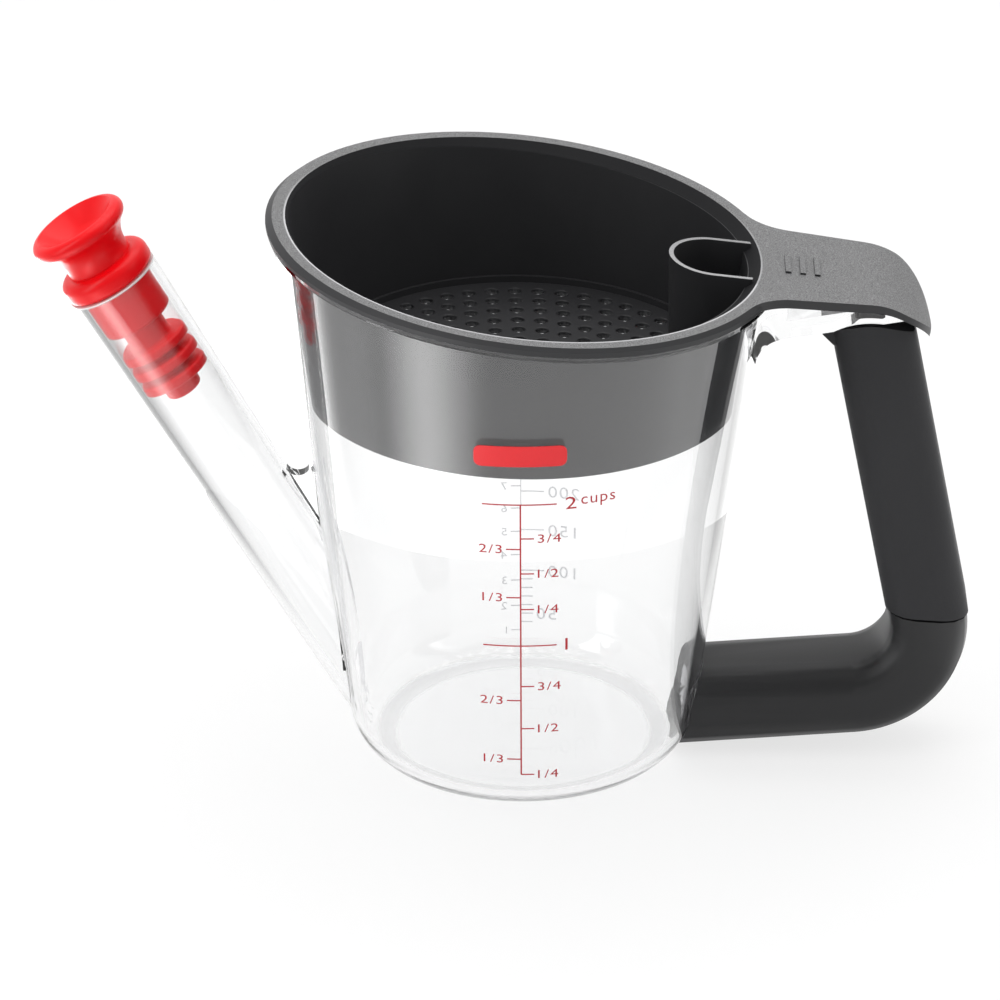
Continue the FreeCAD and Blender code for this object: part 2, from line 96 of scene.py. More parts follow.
turn, backward = camera_frame()
camera = placed("camera", bpy.data.cameras.new("camera"))
camera.matrix_world = Matrix.Translation(TARGET + backward * DISTANCE) @ turn.to_4x4()
camera.data.sensor_width = 36.0
camera.data.lens = 197.64
camera.data.clip_start = 0.05
bpy.context.scene.camera = camera
print("camera at", [round(v, 3) for v in camera.location])

# %% [markdown]
# ## A small language for materials
# A `Value` wraps one node socket, so that shader maths reads like ordinary sums.


# %% Values and finishes
class Value:
    """One output of a node, usable in ordinary sums."""

    def __init__(self, finish, socket):
        self.finish = finish
        self.socket = socket

    def maths(self, operation, *others):
        return self.finish.node("ShaderNodeMath", {"operation": operation}, self, *others)

    def __add__(self, other):
        return self.maths("ADD", other)

    def __sub__(self, other):
        return self.maths("SUBTRACT", other)

    def __mul__(self, other):
        return self.maths("MULTIPLY", other)

    def __rsub__(self, other):
        return (self * -1.0) + other

    __radd__ = __add__
    __rmul__ = __mul__

    def between(self, low, high):
        """0 below low, 1 above high, and smooth on the way."""
        settings = {"interpolation_type": "SMOOTHSTEP"}
        return self.finish.node("ShaderNodeMapRange", settings, self, low, high, 0.0, 1.0)

    def greater(self, other):
        """The greater of the two."""
        return self.maths("MAXIMUM", other)


class Finish:
    """A material, or the surroundings, built up from values."""

    def __init__(self, name, world=False):
        self.name = name
        self.owner = (bpy.data.worlds if world else bpy.data.materials).new(name)
        self.ends_in = "ShaderNodeOutputWorld" if world else "ShaderNodeOutputMaterial"
        self.owner.use_nodes = True
        self.tree = self.owner.node_tree
        self.tree.nodes.clear()
        self.place = self.node("ShaderNodeTexCoord", output="Generated" if world else "Object")
        axes = self.node("ShaderNodeSeparateXYZ", {}, self.place, output=None)
        self.x, self.y, self.z = [Value(self, socket) for socket in axes.outputs]

    def give(self, socket, value):
        """Links a value to a socket, or sets a constant on it."""
        if isinstance(value, Value):
            self.tree.links.new(value.socket, socket)
        else:
            socket.default_value = value

    def node(self, kind, settings=None, *values, output=0, **named):
        """Any node: its settings, its inputs in order, then its inputs by name."""
        node = self.tree.nodes.new(kind)
        for key, value in (settings or {}).items():
            setattr(node, key, value)
        for socket, value in zip(node.inputs, values):
            self.give(socket, value)
        for key, value in named.items():
            self.give(node.inputs[key.replace("_", " ")], value)
        return node if output is None else Value(self, node.outputs[output])

    def noise(self, scale, detail=2.0, roughness=0.5):
        """Cloudy pattern; scale counts its cells per metre."""
        named = {"Scale": scale, "Detail": detail, "Roughness": roughness}
        return self.node("ShaderNodeTexNoise", {}, self.place, **named)

    def blend(self, factor, first, second):
        """Mix of two colours."""
        node = self.tree.nodes.new("ShaderNodeMix")
        node.data_type = "RGBA"
        self.give(node.inputs["Factor"], factor)
        for socket, value in ((node.inputs[6], first), (node.inputs[7], second)):
            self.give(socket, value if isinstance(value, Value) else (*value, 1.0))
        return Value(self, node.outputs[2])

    def bump(self, height, depth, strength=1.0):
        """Normal for a relief of that depth in metres."""
        named = {"Strength": strength, "Distance": depth, "Height": height}
        return self.node("ShaderNodeBump", {}, **named)

    def surface(self, **values):
        """The main shader, with constants set on it directly."""
        return self.node("ShaderNodeBsdfPrincipled", {}, **values)

    def ray(self, output):
        """Light Path output, such as Is Camera Ray."""
        return Value(self, self.node("ShaderNodeLightPath", {}, output=None).outputs[output])

    def done(self, shader):
        out = self.node(self.ends_in, {}, output=None)
        self.tree.links.new(shader.socket, out.inputs["Surface"])
        print("finish", self.name, "has", len(self.tree.nodes), "nodes")
        return self.owner


# %% [markdown]
# ## Finishes
# Each function builds one finish: a colour that varies a little, a roughness and a fine
# relief. In the clear plastic, shadow and scattered light pass unbent, and light that has
# bounced about inside for long ends as pale grey.

# %% Clear plastic, ground dull round the mouth of the spout with a painted highlight there, and painted pale round the foot
SPOUT_LEAN = math.radians(29.75)
SPOUT_MOUTH = Vector((-89.51, 0.0, 113.32))
MOUTH_ALONG = (SPOUT_MOUTH.z * math.cos(SPOUT_LEAN) - SPOUT_MOUTH.x * math.sin(SPOUT_LEAN)) * MM


def clear_plastic():
    f = Finish("clear_plastic")
    waviness = f.noise(22.0, detail=1.0)
    handling = f.noise(40.0, detail=2.0)
    along_spout = f.z * math.cos(SPOUT_LEAN) - f.x * math.sin(SPOUT_LEAN)
    mouth_edge = along_spout.between(MOUTH_ALONG - 0.6 * MM, MOUTH_ALONG - 0.2 * MM)
    body = f.surface(
        Base_Color=f.blend(waviness, (0.965, 0.967, 0.968), (0.985, 0.987, 0.988)),
        Roughness=handling * 0.02,
        Normal=f.bump(waviness, 0.0002, 0.3),
        IOR=1.49,
        Transmission_Weight=1.0,
    )
    # Whitish dull surface: a ground finish at the spout's mouth that also stands in for its bright
    # highlight, and painted pale light round the foot.
    pale_dull = f.surface(
        Base_Color=f.blend(handling, (0.80, 0.80, 0.80), (0.86, 0.86, 0.86)),
        Roughness=handling * 0.1 + 0.5,
    )
    off_axis = (f.x * f.x + f.y * f.y).maths("SQRT")
    # Painted pale ring round the foot, in place of the light along its bottom edge.
    painted_pale_foot = (1.0 - f.z.between(0.8 * MM, 2.4 * MM)) * off_axis.between(28.0 * MM, 30.0 * MM)
    dulled = (mouth_edge * 0.8).greater(painted_pale_foot * 0.6)
    body = f.node("ShaderNodeMixShader", {}, dulled, body, pale_dull)
    clear = f.node("ShaderNodeBsdfTransparent", {}, (0.985, 0.987, 0.99, 1.0))
    trapped = f.ray("Ray Depth").between(7.2, 7.8)
    pale = f.node("ShaderNodeEmission", {}, (0.72, 0.72, 0.74, 1.0), 1.0)
    body = f.node("ShaderNodeMixShader", {}, trapped, body, pale)
    unbent = f.ray("Is Shadow Ray").greater(f.ray("Is Diffuse Ray"))
    return f.done(f.node("ShaderNodeMixShader", {}, unbent, body, clear))


# %% [markdown]
# The strainer's faces carry a mark: 1 on the flange's top, -1 on the slope to the mouth and 0
# elsewhere. The top is grained and painted lighter, as if lit from above, and the slope is dull.

# %% Black moulding of the strainer, grained and painted lighter on top, with a painted highlight along the mouth's edge
RIM_TILT = math.radians(6.67)
RIM_HEIGHT = 121.8


def strainer_plastic():
    f = Finish("strainer_plastic")
    rim_mark = f.node("ShaderNodeAttribute", {"attribute_name": "rim_mark"}, output="Fac")
    on_top = rim_mark.greater(0.0)
    on_bevel = (rim_mark * -1.0).greater(0.0)
    speckle = f.noise(4200.0, detail=2.0, roughness=0.7)
    cloud = f.noise(60.0, detail=3.0)
    # Grain on the flange's top, painted far lighter than the plain black, as if lit from above.
    grain = f.blend(speckle.between(0.38, 0.62), (0.085, 0.085, 0.087), (0.23, 0.23, 0.232))
    along = f.x * math.cos(RIM_TILT) - (f.z - RIM_HEIGHT * MM) * math.sin(RIM_TILT)
    reach = (along * along + f.y * f.y).maths("SQRT")
    # Painted highlight: a thin light line along the mouth's edge, faded out towards the back and
    # halved on the channel walls.
    painted_edge_glint = (1.0 - reach.between(52.2 * MM, 52.5 * MM)) * (1.0 - f.y.between(-0.01, 0.03))
    aside = f.y.maths("ABSOLUTE")
    on_channel = f.x.between(24.0 * MM, 27.0 * MM) * (1.0 - aside.between(11.5 * MM, 12.5 * MM))
    grain = f.blend(painted_edge_glint * (1.0 - on_channel * 0.5), grain, (0.52, 0.52, 0.53))
    plain = f.blend(cloud, (0.017, 0.017, 0.0185), (0.025, 0.025, 0.027))
    shader = f.surface(
        Base_Color=f.blend(on_top, plain, grain),
        Roughness=on_top * 0.1 + cloud * 0.06 + 0.45,
        Normal=f.bump(speckle * on_top, 0.00005, 0.5),
        Specular_IOR_Level=0.35,
    )
    dull = f.surface(
        Base_Color=f.blend(cloud, (0.010, 0.010, 0.011), (0.016, 0.016, 0.017)),
        Roughness=cloud * 0.06 + 0.8,
        Specular_IOR_Level=0.05,
    )
    return f.done(f.node("ShaderNodeMixShader", {}, on_bevel * 0.85, shader, dull))


# %% [markdown]
# The handle has a soft grip skin, a satin bend, and a plain core that only shows in the model.


# %% Handle finishes
def soft_grip():
    f = Finish("soft_grip")
    grain = f.noise(1800.0, detail=3.0, roughness=0.6)
    cloud = f.noise(45.0, detail=2.0)
    shader = f.surface(
        Base_Color=f.blend(cloud, (0.022, 0.022, 0.024), (0.030, 0.030, 0.032)),
        Roughness=grain * 0.12 + 0.62,
        Normal=f.bump(grain, 0.00005, 0.5),
        Specular_IOR_Level=0.25,
    )
    return f.done(shader)


def satin_plastic():
    f = Finish("satin_plastic")
    grain = f.noise(1400.0, detail=2.0)
    cloud = f.noise(40.0, detail=2.0)
    shader = f.surface(
        Base_Color=f.blend(cloud, (0.012, 0.012, 0.013), (0.017, 0.017, 0.018)),
        Roughness=cloud * 0.08 + 0.40,
        Normal=f.bump(grain, 0.00003, 0.35),
        Specular_IOR_Level=0.32,
    )
    return f.done(shader)


def core_plastic():
    f = Finish("core_plastic")
    grain = f.noise(1200.0, detail=2.0)
    shader = f.surface(
        Base_Color=f.blend(grain, (0.018, 0.018, 0.019), (0.028, 0.028, 0.030)),
        Roughness=grain * 0.1 + 0.4,
    )
    return f.done(shader)


# %% [markdown]
# The silicone is soft red with a little dust. The inks cover unevenly.


# %% Red silicone and the printing inks
def red_silicone():
    f = Finish("red_silicone")
    cloud = f.noise(120.0, detail=2.0)
    dust = f.noise(1500.0, detail=3.0).between(0.55, 0.8)
    shader = f.surface(
        Base_Color=f.blend(cloud, (0.70, 0.001, 0.004), (0.82, 0.002, 0.006)),
        Roughness=dust * 0.15 + 0.32,
        Normal=f.bump(cloud, 0.0001, 0.2),
        Subsurface_Weight=0.05,
        Subsurface_Scale=0.002,
        Subsurface_Radius=(1.0, 0.1, 0.05),
        Specular_IOR_Level=0.22,
    )
    return f.done(shader)


def ink(name, thin, thick):
    f = Finish(name)
    coverage = f.noise(2400.0, detail=2.0)
    shader = f.surface(Base_Color=f.blend(coverage, thin, thick), Roughness=coverage * 0.1 + 0.4)
    return f.done(shader)


finishes = {
    "clear_jug": clear_plastic(),
    "strainer": strainer_plastic(),
    "grip_sleeve": soft_grip(),
    "handle_elbow": satin_plastic(),
    "grip_core": core_plastic(),
    "stopper": red_silicone(),
}
crimson = ink("crimson_ink", (0.40, 0.0, 0.008), (0.50, 0.001, 0.012))
grey_ink = ink("grey_ink", (0.84, 0.84, 0.85), (0.89, 0.89, 0.90))
badge_red = ink("badge_red", (0.70, 0.001, 0.006), (0.82, 0.002, 0.009))

# %% [markdown]
# ## Smooth skins
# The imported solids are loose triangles. Each gets a skin with its corners joined, so that
# light runs smoothly over curves and still breaks at real edges.


# %% Round surfaces of the clear vessel, to which the skin is drawn out
OUT_OF_REACH = Vector((99.0, 0.0, 0.0))


def cone_pull(foot, direction, radius, slope):
    """Shift, in millimetres, that takes a place straight out to a cone."""
    def pull(place):
        along = (place - foot).dot(direction)
        spoke = place - foot - direction * along
        return spoke.normalized() * (radius + slope * along - spoke.length)
    return pull


def round_pull(middle_radius, middle_height, radius):
    """The same for the round between a floor and a wall."""
    def pull(place):
        spoke = Vector((place.x, place.y, 0.0))
        away = place - spoke.normalized() * middle_radius - Vector((0, 0, middle_height))
        if away.z > 0.1 or spoke.length < middle_radius - 0.1:
            return OUT_OF_REACH
        return away.normalized() * (radius - away.length)
    return pull


WALL_AT_TABLE = 37.9
WALL_DRAFT = math.radians(7.43)
WALL_SLOPE = math.tan(WALL_DRAFT)
WALL = 2.2
BASE_ROUND = 10.8
FLOOR_ROUND = 8.2
SPOUT_FOOT = Vector((-31.6, 0.0, 12.0))
SPOUT_RADIUS = 10.4
SPOUT_WALL = 2.0
SPOUT_LENGTH = 116.7
SPOUT_SLOPE = math.tan(math.radians(0.78))


def vessel_pulls():
    """Wall, spout and foot rounds, each outside and inside."""
    up = Vector((0, 0, 1))
    inner_wall = WALL_AT_TABLE - WALL / math.cos(WALL_DRAFT)
    up_spout = Vector((-math.sin(SPOUT_LEAN), 0.0, math.cos(SPOUT_LEAN)))
    foot_radius = SPOUT_RADIUS - SPOUT_LENGTH * SPOUT_SLOPE
    pulls = [
        cone_pull(Vector(), up, WALL_AT_TABLE, WALL_SLOPE),
        cone_pull(Vector(), up, inner_wall, WALL_SLOPE),
        cone_pull(SPOUT_FOOT, up_spout, foot_radius, SPOUT_SLOPE),
        cone_pull(SPOUT_FOOT, up_spout, foot_radius - SPOUT_WALL, SPOUT_SLOPE),
    ]
    for at_table, corner, middle_height in ((WALL_AT_TABLE, BASE_ROUND, BASE_ROUND),
                                            (inner_wall, FLOOR_ROUND, BASE_ROUND)):
        middle = at_table + WALL_SLOPE * middle_height - corner / math.cos(WALL_DRAFT)
        pulls.append(round_pull(middle, middle_height, corner))
    return pulls


print("round surfaces:", len(vessel_pulls()))


ON_SURFACE = 0.03
LEAST_SAG = 0.002
MOST_SAG = 0.3


def drawn_out(work, pulls, passes=2):
    """Splits the chords of round surfaces and draws their middles out."""
    for _ in range(passes):
        chords = []
        for edge in work.edges:
            first, second = [vert.co / MM for vert in edge.verts]
            for pull in pulls:
                if pull(first).length < ON_SURFACE and pull(second).length < ON_SURFACE:
                    if LEAST_SAG < pull((first + second) / 2).length < MOST_SAG:
                        chords.append(edge)
                        break
        parts = bmesh.ops.subdivide_edges(work, edges=chords, cuts=1)
        for vert in parts["geom_inner"]:
            if isinstance(vert, bmesh.types.BMVert):
                shifts = [pull(vert.co / MM) for pull in pulls]
                vert.co += min(shifts, key=lambda shift: shift.length) * MM
        bmesh.ops.triangulate(work, faces=[face for face in work.faces if len(face.verts) > 3])


# %% Make one skin per node
SAME_CORNER = 0.002 * MM


def skin(node, left_out=None, sharp_from=math.radians(32)):
    """Copy of a node with joined corners, smooth but for edges sharper than an angle."""
    mesh = nodes[node].data.copy()
    work = bmesh.new()
    work.from_mesh(mesh)
    bmesh.ops.remove_doubles(work, verts=work.verts, dist=SAME_CORNER)
    bmesh.ops.recalc_face_normals(work, faces=work.faces)
    if node == "clear_jug":
        drawn_out(work, vessel_pulls())
    for face in work.faces:
        face.smooth = True
    for edge in work.edges:
        edge.smooth = edge.is_manifold and edge.calc_face_angle(0.0) < sharp_from
    if left_out:
        spare = [face for face in work.faces if left_out(face)]
        bmesh.ops.delete(work, geom=spare, context="FACES")
    mark = work.faces.layers.float.new("rim_mark")
    for face in work.faces:
        face[mark] = 1.0 if is_rim_top(face) else -1.0 if is_mouth_bevel(face) else 0.0
    work.to_mesh(mesh)
    work.free()
    if "custom_normal" in mesh.attributes:
        mesh.attributes.remove(mesh.attributes["custom_normal"])
    mesh.materials.clear()
    mesh.materials.append(finishes[node])
    piece = placed(node + "_skin", mesh)
    print(piece.name, "faces", len(mesh.polygons))
    return piece


LOOKS_UP = 0.3
TAB_BEND = 74.0
TOP_ABOVE_RIM = 2.15
MOUTH_EDGE = 52.6
FLOOR_TILT = math.radians(1.28)
FLOOR_LOW = 90.4
FLOOR_HIGH = 91.9
FLOOR_EDGE = 45.95


def by_rim(place):
    """Distance along the rim's slope and height above it, in millimetres."""
    rise = place.z - RIM_HEIGHT
    along = place.x * math.cos(RIM_TILT) - rise * math.sin(RIM_TILT)
    above = rise * math.cos(RIM_TILT) + place.x * math.sin(RIM_TILT)
    return along, above


def is_rim_top(face):
    """Faces of the flange and the thumb tab that look up, but not the bevels."""
    if face.normal.z < LOOKS_UP:
        return False
    if face.calc_center_median().x > TAB_BEND * MM:
        return face.normal.x > -0.2
    return all(by_rim(vert.co / MM)[1] >= TOP_ABOVE_RIM for vert in face.verts)


def is_mouth_bevel(face):
    """Faces that slope in from the flange to the mouth."""
    place = face.calc_center_median() / MM
    along, above = by_rim(place)
    inwards = face.normal.x * place.x + face.normal.y * place.y < 0.0
    slopes_in = above > 0.0 and inwards and face.normal.z > LOOKS_UP
    return slopes_in and math.hypot(along, place.y) < MOUTH_EDGE


def is_drain_floor(face):
    """Faces of the perforated floor, which gets a finer plate of its own."""
    for vert in face.verts:
        place = vert.co / MM
        height = place.z + place.x * math.tan(FLOOR_TILT)
        if not FLOOR_LOW - 0.05 < height < FLOOR_HIGH + 0.05 or place.xy.length > FLOOR_EDGE:
            return False
    return True


for body, members in bodies.items():
    for node in members:
        if node == "stopper":
            continue
        piece = skin(node, is_drain_floor if node == "strainer" else None)
        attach(piece, body)
        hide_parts(node)

# %% [markdown]
# ## Drain floor
# A flat curve with round holes, thickened and eased at its edges, laid on the strainer's foot.

# %% Punch the plate
HOLE_RADIUS = 1.45
HOLE_PITCH = 5.06
HOLE_BEARING = math.radians(33)
CHANNEL_CENTRE = 41.7
CHANNEL_MIDDLE = 9.2
CHANNEL_CLEARANCE = 11.85
EASING = 0.22


def ring_of(centre_x, centre_y, radius, start, finish, steps):
    """Points round a circle between two bearings in radians, the last one left out."""
    bearings = [start + (finish - start) * k / steps for k in range(steps)]
    return [(centre_x + radius * math.cos(b), centre_y + radius * math.sin(b)) for b in bearings]


def drain_holes():
    """Centres of the holes, in rings that clear the pouring channel."""
    places = [(0.0, 0.0)]
    for ring in range(1, 9):
        turn_end = HOLE_BEARING + 2 * math.pi
        places += ring_of(0, 0, ring * HOLE_PITCH, HOLE_BEARING, turn_end, 6 * ring)
    kept = []
    for x, y in places:
        from_channel = math.hypot(min(0.0, x - CHANNEL_CENTRE), y)
        if from_channel >= CHANNEL_CLEARANCE:
            kept.append((x, y))
    return kept


def closed(curve, points):
    """Adds a closed outline, given in millimetres, to a flat curve."""
    spline = curve.splines.new("POLY")
    spline.points.add(len(points) - 1)
    for point, (x, y) in zip(spline.points, points):
        point.co = (x * MM, y * MM, 0.0, 1.0)
    spline.use_cyclic_u = True


edge_bearing = math.asin(CHANNEL_MIDDLE / FLOOR_EDGE)
outline = ring_of(0, 0, FLOOR_EDGE, edge_bearing, 2 * math.pi - edge_bearing, 120)
outline += [(FLOOR_EDGE * math.cos(edge_bearing), -CHANNEL_MIDDLE)]
outline += ring_of(CHANNEL_CENTRE, 0, CHANNEL_MIDDLE, 1.5 * math.pi, 0.5 * math.pi, 24)
outline += [(CHANNEL_CENTRE, CHANNEL_MIDDLE)]
curve = bpy.data.curves.new("drain_floor", "CURVE")
curve.dimensions = "2D"
curve.fill_mode = "BOTH"
curve.extrude = ((FLOOR_HIGH - FLOOR_LOW) / 2 - EASING) * MM
curve.bevel_depth = EASING * MM
curve.bevel_resolution = 1
curve.offset = -EASING * MM
closed(curve, outline)
holes = drain_holes()
for x, y in holes:
    closed(curve, ring_of(x, y, HOLE_RADIUS, 0, 2 * math.pi, 16))
flat = placed("drain_curve", curve)
bpy.context.view_layer.update()
mesh = bpy.data.meshes.new_from_object(flat)
bpy.data.objects.remove(flat)
lift = Matrix.Translation(Vector((0, 0, (FLOOR_LOW + FLOOR_HIGH) / 2)) * MM)
mesh.transform(lift @ Matrix.Rotation(FLOOR_TILT, 4, "Y"))
mesh.materials.clear()
mesh.materials.append(finishes["strainer"])
mesh.name = "drain_floor"
drain_floor = placed("drain_floor", mesh)
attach(drain_floor, "strainer")
print("drain_floor holes", len(holes), "faces", len(mesh.polygons))

# %% [markdown]
# ## Printed scales
# Lines and figures are drawn flat, in millimetres, then wrapped round the vessel's cone.

# %% The cone that carries the print
PRINT_LIFT = 0.06


def on_wall(side, along, height):
    """Point on the vessel's outside. side is -1 for the front and +1 for the back."""
    radius = WALL_AT_TABLE + WALL_SLOPE * height + PRINT_LIFT
    across = radius * math.sin(along / radius)
    out = radius * math.cos(along / radius)
    return Vector((-side * across, side * out, height)) * MM


def flat_line(left, right, low, high, steps):
    """Rectangle as a strip of quads, so that it can bend round the wall."""
    work = bmesh.new()
    rows = []
    for step in range(steps + 1):
        along = left + (right - left) * step / steps
        rows.append((work.verts.new((along, low, 0)), work.verts.new((along, high, 0))))
    for (a, b), (c, d) in zip(rows, rows[1:]):
        work.faces.new((a, c, d, b))
    return work


def flat_text(words, size, middle, left=None, right=None, stretch=1.22):
    """Words as a flat mesh, set against a left or a right edge and centred on a height."""
    curve = bpy.data.curves.new("words", "FONT")
    curve.body = words
    curve.size = size
    curve.space_character = 1.12
    curve.resolution_u = 3
    words_object = placed("words", curve)
    bpy.context.view_layer.update()
    mesh = bpy.data.meshes.new_from_object(words_object)
    bpy.data.objects.remove(words_object)
    work = bmesh.new()
    work.from_mesh(mesh)
    bpy.data.meshes.remove(mesh)
    bmesh.ops.scale(work, verts=work.verts, vec=(stretch, 1, 1))
    xs = [vert.co.x for vert in work.verts]
    ys = [vert.co.y for vert in work.verts]
    shift_x = left - min(xs) if left is not None else right - max(xs)
    shift = Vector((shift_x, middle - (min(ys) + max(ys)) / 2, 0))
    bmesh.ops.translate(work, verts=work.verts, vec=shift)
    return work


def gather(parts):
    """One flat mesh from several."""
    whole = bmesh.new()
    for part in parts:
        mesh = bpy.data.meshes.new("part")
        part.to_mesh(mesh)
        part.free()
        whole.from_mesh(mesh)
        bpy.data.meshes.remove(mesh)
    return whole


def printed(name, parts, side, material, body="jug"):
    """Wraps flat artwork round the wall and hands it to a body."""
    work = gather(parts)
    for vert in work.verts:
        vert.co = on_wall(side, vert.co.x, vert.co.y)
    work.normal_update()
    for face in work.faces:
        if face.normal.y * side < 0:
            face.normal_flip()
    piece = placed(name, as_mesh(name, work, material))
    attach(piece, body)
    print(name, "faces", len(piece.data.polygons))


# %% [markdown]
# The cup scale has long lines at whole cups, thirds on its left and quarters on its right.
# Each mark holds its volume in cups, its height and its label.

# %% Cup scale on the front
CUP_MARKS = (
    (0.25, 11.87, "1/4"), (1 / 3, 16.04, "1/3"), (0.5, 24.36, "1/2"), (2 / 3, 31.93, "2/3"),
    (0.75, 35.72, "3/4"), (1.0, 46.54, "1"), (1.25, 56.20, "1/4"), (4 / 3, 59.30, "1/3"),
    (1.5, 65.53, "1/2"), (5 / 3, 71.88, "2/3"), (1.75, 74.62, "3/4"), (2.0, 83.33, "2"),
)
STROKE = 0.34
FIGURES = 3.15
WHOLE_FIGURES = 4.5
WHOLE_LINE = (-8.2, 7.8)
THIRD_LINE = (-3.1, 0)
QUARTER_LINE = (0, 2.9)
WHOLE_FIGURES_LEFT = 9.7
THIRD_FIGURES_RIGHT = -4.0
QUARTER_FIGURES_LEFT = 3.7

parts = [flat_line(-STROKE / 2, STROKE / 2, CUP_MARKS[0][1], CUP_MARKS[-1][1], steps=1)]
for cups, height, label in CUP_MARKS:
    low, high = height - STROKE / 2, height + STROKE / 2
    is_third = abs(cups * 3 - round(cups * 3)) < 0.01
    if cups == int(cups):
        parts.append(flat_line(*WHOLE_LINE, low, high, steps=12))
        parts.append(flat_text(label, WHOLE_FIGURES, left=WHOLE_FIGURES_LEFT, middle=height))
    elif is_third:
        parts.append(flat_line(*THIRD_LINE, low, high, steps=3))
        parts.append(flat_text(label, FIGURES, right=THIRD_FIGURES_RIGHT, middle=height))
    else:
        parts.append(flat_line(*QUARTER_LINE, low, high, steps=3))
        parts.append(flat_text(label, FIGURES, left=QUARTER_FIGURES_LEFT, middle=height))
parts.append(flat_text("cups", 4.1, left=13.1, middle=CUP_MARKS[-1][1] - 0.2, stretch=0.98))
printed("cup_scale", parts, -1, crimson)

# %% [markdown]
# The back scale counts millilitres and ounces. Its heights come from the cup scale.

# %% Millilitre and ounce scale on the back
CUP = 236.6


def height_at(millilitres):
    """Height of a volume, read off the cup scale."""
    marks = [(cups * CUP, height) for cups, height, label in CUP_MARKS]
    pair = 0
    while pair < len(marks) - 2 and marks[pair + 1][0] < millilitres:
        pair += 1
    (v0, h0), (v1, h1) = marks[pair], marks[pair + 1]
    return h0 + (h1 - h0) * (millilitres - v0) / (v1 - v0)


THIN = 0.3
LONG_TICK, LONG_FIGURES_RIGHT = -5.6, -6.6
SHORT_TICK, SHORT_FIGURES_RIGHT = -2.9, -3.8
OUNCE_TICK, OUNCE_FIGURES_LEFT = 2.4, 3.3
SCALE_SHIFT = (0.9, 0.6, 0)
OUNCE = 29.57
TWO_CUPS = 473
SHORT_VOLUMES = list(range(40, 100, 10))
LONG_VOLUMES = list(range(100, 500, 50))

parts = [flat_line(-0.11, 0.11, height_at(OUNCE), height_at(TWO_CUPS), steps=1)]
for volume in SHORT_VOLUMES + LONG_VOLUMES:
    height = height_at(volume)
    is_long = volume in LONG_VOLUMES
    tick = LONG_TICK if is_long else SHORT_TICK
    figures_right = LONG_FIGURES_RIGHT if is_long else SHORT_FIGURES_RIGHT
    parts.append(flat_line(tick, 0, height - THIN / 2, height + THIN / 2, steps=4))
    if is_long or volume == 50:
        words = str(volume) + (" ml" if volume == 450 else "")
        parts.append(flat_text(words, 4.0, right=figures_right, middle=height))
for ounces in range(1, 16):
    height = height_at(ounces * OUNCE)
    parts.append(flat_line(0, OUNCE_TICK, height - THIN / 2, height + THIN / 2, steps=3))
    words = str(ounces) + (" oz" if ounces == 15 else "")
    parts.append(flat_text(words, 2.7, left=OUNCE_FIGURES_LEFT, middle=height))
for part in parts:
    bmesh.ops.translate(part, verts=part.verts, vec=SCALE_SHIFT)
printed("metric_scale", parts, 1, grey_ink)

# %% [markdown]
# A plain bar sits over the strainer's band, on the outside of the clear wall.


# %% Plain red bar on the band
def rounded_bar(half_width, half_height, corner, middle, steps=6):
    """Flat bar with rounded corners, in narrow columns so that it bends."""
    work = bmesh.new()
    straight = half_width - corner
    edges = [straight + corner * math.cos(math.pi / 2 * k / steps) for k in range(steps + 1)]
    middles = [k * straight / (2 * steps) for k in range(-2 * steps, 2 * steps + 1)]
    places = sorted(set(edges) | {-edge for edge in edges} | set(middles))
    columns = []
    for along in places:
        over = max(0.0, abs(along) - straight) / corner
        reach = half_height - corner + corner * math.sqrt(max(0.0, 1 - over * over))
        ends = (middle - reach, middle + reach)
        columns.append([work.verts.new((along, end, 0)) for end in ends])
    for (a, b), (c, d) in zip(columns, columns[1:]):
        work.faces.new((a, c, d, b))
    return work


BAR_HALF_WIDTH = 10.0
BAR_HALF_HEIGHT = 2.6
BAR_CORNER = 1.6
BAR_MIDDLE = 95.6
bar = rounded_bar(BAR_HALF_WIDTH, BAR_HALF_HEIGHT, BAR_CORNER, BAR_MIDDLE)
printed("band_bar", [bar], -1, badge_red)

# %% [markdown]
# ## Stopper
# One outline, spun about the spout's axis.

# %% Spin the stopper
def bow(centre_x, centre_z, radius, start, finish, steps):
    """Points on an arc, angles in degrees from outwards towards up."""
    angles = [math.radians(start + (finish - start) * k / steps) for k in range(steps + 1)]
    return [(centre_x + radius * math.cos(a), centre_z + radius * math.sin(a)) for a in angles]


def spun(name, outline, material, steps=96, sharp_from=math.radians(38)):
    """Solid of revolution about the spout's axis, heights counted from the mouth."""
    work = bmesh.new()
    turns = [Matrix.Rotation(2 * math.pi * k / steps, 3, "Z") for k in range(steps)]
    rings = []
    for radius, height in outline:
        on_axis = radius < 0.001
        places = [turn @ Vector((radius, 0, height)) for turn in (turns[:1] if on_axis else turns)]
        rings.append([work.verts.new(place) for place in places])
    for low, high in zip(rings, rings[1:]):
        for k in range(steps):
            ways = ((low, k), (low, k + 1), (high, k + 1), (high, k))
            corners = [ring[turn % len(ring)] for ring, turn in ways]
            work.faces.new(list(dict.fromkeys(corners)))  # one corner fewer at the axis
    bmesh.ops.recalc_face_normals(work, faces=work.faces)
    for face in work.faces:
        face.smooth = True
    for edge in work.edges:
        edge.smooth = edge.calc_face_angle(0.0) < sharp_from
    place = Matrix.Diagonal((MM, MM, MM, 1)) @ Matrix.Translation(SPOUT_MOUTH)
    work.transform(place @ Matrix.Rotation(-SPOUT_LEAN, 4, "Y"))
    piece = placed(name, as_mesh(name, work, material))
    print(name, "faces", len(piece.data.polygons))
    return piece


